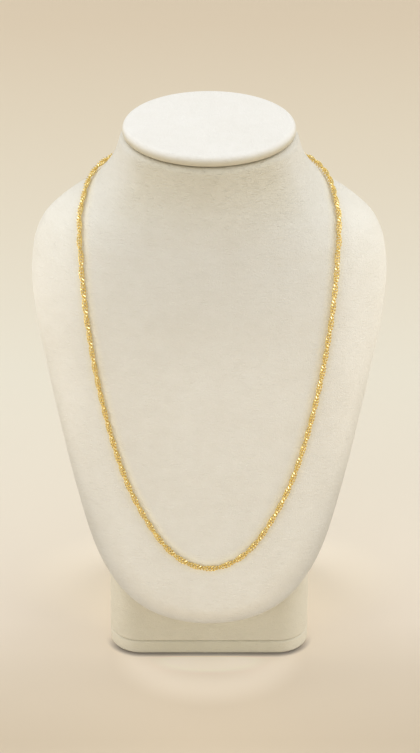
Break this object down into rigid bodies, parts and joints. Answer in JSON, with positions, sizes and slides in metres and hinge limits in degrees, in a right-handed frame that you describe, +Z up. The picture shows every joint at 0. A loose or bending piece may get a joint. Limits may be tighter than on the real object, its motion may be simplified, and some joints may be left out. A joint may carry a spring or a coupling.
{
  "type": "singapore chain necklace on a plain neck bust",
  "caption": "Twisted curb chain necklace in yellow gold tone, worn by a cream neck bust with an oval cap, leaning chest and block foot.",
  "frame": {"origin": "middle of the base plate's underside, which stands on the table", "axes": "+Z up, -Y the way the chest faces, +X to the right of someone who looks at the chest"},
  "size_m": [0.189, 0.1287, 0.3005],
  "materials": {
    "bust_leatherette": "fine matte grain, cream",
    "cap_leatherette": "fine matte grain, off-white",
    "stand_leatherette": "fine matte grain, light stone",
    "gold": "polished yellow gold plating"
  },
  "bodies": {
    "root": {"base_plate": "stand_leatherette", "stand_block": "stand_leatherette", "bust_form": "bust_leatherette", "neck_cap": "cap_leatherette", "chain": "gold", "clasp": "gold"}
  },
  "joints": []
}
